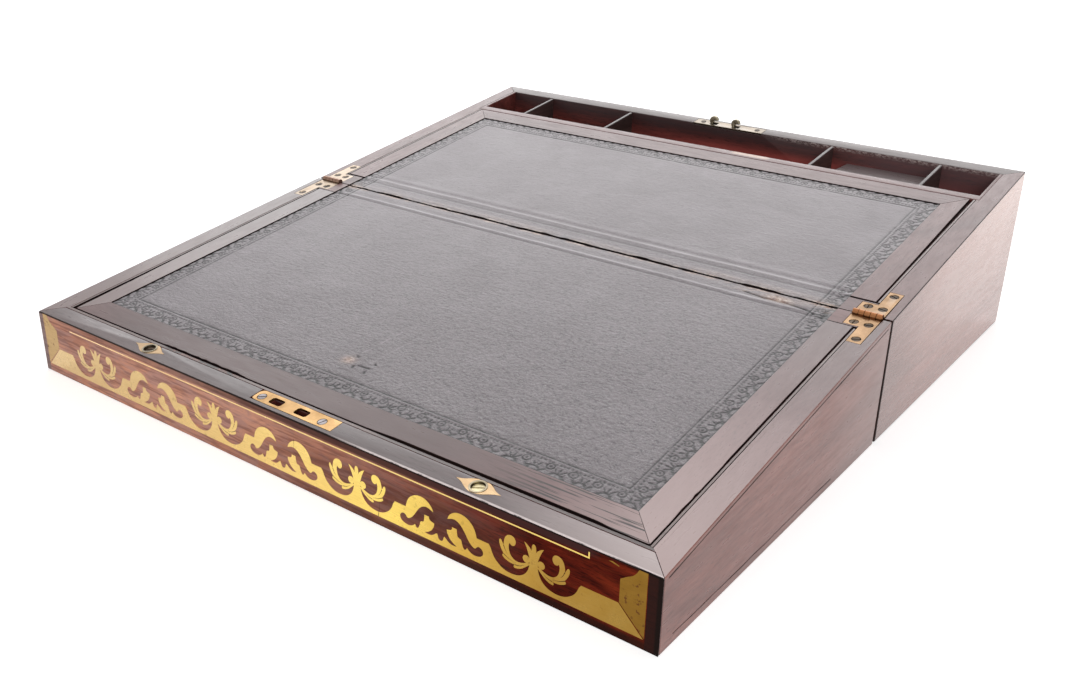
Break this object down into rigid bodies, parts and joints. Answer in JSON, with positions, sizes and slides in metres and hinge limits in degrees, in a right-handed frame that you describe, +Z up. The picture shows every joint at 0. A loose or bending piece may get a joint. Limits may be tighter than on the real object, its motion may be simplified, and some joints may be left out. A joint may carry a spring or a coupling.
{
  "type": "lap desk",
  "caption": "Folding wooden lap desk with brass inlay, open to a sloped leather writing surface of hinged leaves over wells, with a divided pen tray, hook lock and press catches.",
  "frame": {"origin": "on the floor under the middle of the fold, which is the middle of the footprint", "axes": "+X to the writer's right along the fold, +Y away from the writer towards the pen tray, +Z up"},
  "size_m": [0.45, 0.474, 0.1163],
  "materials": {
    "rosewood": "french polished",
    "mahogany": "satin",
    "leather": "worn semi-gloss",
    "brass": "polished, aged",
    "screw_brass": "dull",
    "lock_metal": "dull, aged"
  },
  "bodies": {
    "base": {"base_bottom": "mahogany", "base_rear_wall": "rosewood", "base_left_side": "rosewood", "base_right_side": "rosewood", "base_fold_wall": "mahogany", "base_fold_rail": "rosewood", "base_rail_leather": "leather", "base_lining": "mahogany", "tray_front_rail": "rosewood", "tray_divider_1": "rosewood", "tray_divider_2": "rosewood", "tray_divider_3": "rosewood", "tray_divider_4": "rosewood", "tray_floor": "mahogany", "lock_case": "lock_metal", "lock_plate": "brass", "keyhole_escutcheon": "brass", "hinge_left_base_leaf": "brass", "hinge_right_base_leaf": "brass", "hinge_left_base_foot_screw": "screw_brass", "hinge_left_base_rim_screw": "screw_brass", "hinge_left_base_arm_screw": "screw_brass", "hinge_right_base_foot_screw": "screw_brass", "hinge_right_base_rim_screw": "screw_brass", "hinge_right_base_arm_screw": "screw_brass", "hinge_left_pin": "brass", "hinge_right_pin": "brass"},
    "lid": {"lid_bottom": "mahogany", "lid_front_wall": "rosewood", "lid_left_side": "rosewood", "lid_right_side": "rosewood", "lid_fold_wall": "mahogany", "lid_fold_rail": "rosewood", "lid_rail_leather": "leather", "lid_lining": "mahogany", "strike_plate": "brass", "hinge_left_lid_leaf": "brass", "hinge_right_lid_leaf": "brass", "hinge_left_lid_foot_screw": "screw_brass", "hinge_left_lid_rim_screw": "screw_brass", "hinge_left_lid_arm_screw": "screw_brass", "hinge_right_lid_foot_screw": "screw_brass", "hinge_right_lid_rim_screw": "screw_brass", "hinge_right_lid_arm_screw": "screw_brass", "catch_plate_left": "brass", "catch_plate_right": "brass", "inlay_band": "brass", "inlay_corner_left": "brass", "inlay_corner_right": "brass", "inlay_line": "brass"},
    "lid_leaf": {"lid_leaf_board": "mahogany", "lid_leaf_frame": "rosewood", "lid_leaf_leather": "leather"},
    "base_leaf": {"base_leaf_board": "mahogany", "base_leaf_frame": "rosewood", "base_leaf_leather": "leather"},
    "lock_bolt": {"lock_bolt": "lock_metal"},
    "tray_cover": {"tray_cover": "mahogany"},
    "catch_button_left": {"catch_button_left": "brass"},
    "catch_button_right": {"catch_button_right": "brass"}
  },
  "joints": [
    {"name": "lid_fold", "type": "hinge", "parent": "base", "child": "lid", "pos_m": [0, -0.00006, 0.07565], "axis": [-1, 0, 0], "range_deg": [0, 180]},
    {"name": "lid_leaf_crease", "type": "hinge", "parent": "lid", "child": "lid_leaf", "pos_m": [0, -0.01507, 0.07294], "axis": [1, 0, 0], "range_deg": [-105, 0]},
    {"name": "base_leaf_crease", "type": "hinge", "parent": "base", "child": "base_leaf", "pos_m": [0, 0.01507, 0.07756], "axis": [-1, 0, 0], "range_deg": [-84, 0]},
    {"name": "lock_bolt_throw", "type": "slide", "parent": "base", "child": "lock_bolt", "axis": [1, 0, 0], "range_m": [0, 0.0032]},
    {"name": "catch_press_left", "type": "slide", "parent": "lid", "child": "catch_button_left", "axis": [0, 0.1512, -0.9885], "range_m": [0, 0.0018], "stiffness_N_per_m": 400, "springref_m": -0.0008},
    {"name": "catch_press_right", "type": "slide", "parent": "lid", "child": "catch_button_right", "axis": [0, 0.1512, -0.9885], "range_m": [0, 0.0018], "stiffness_N_per_m": 400, "springref_m": -0.0008},
    {"name": "tray_cover_lift", "type": "slide", "parent": "base", "child": "tray_cover", "axis": [0, 0, -1], "range_m": [-0.06, 0]}
  ]
}
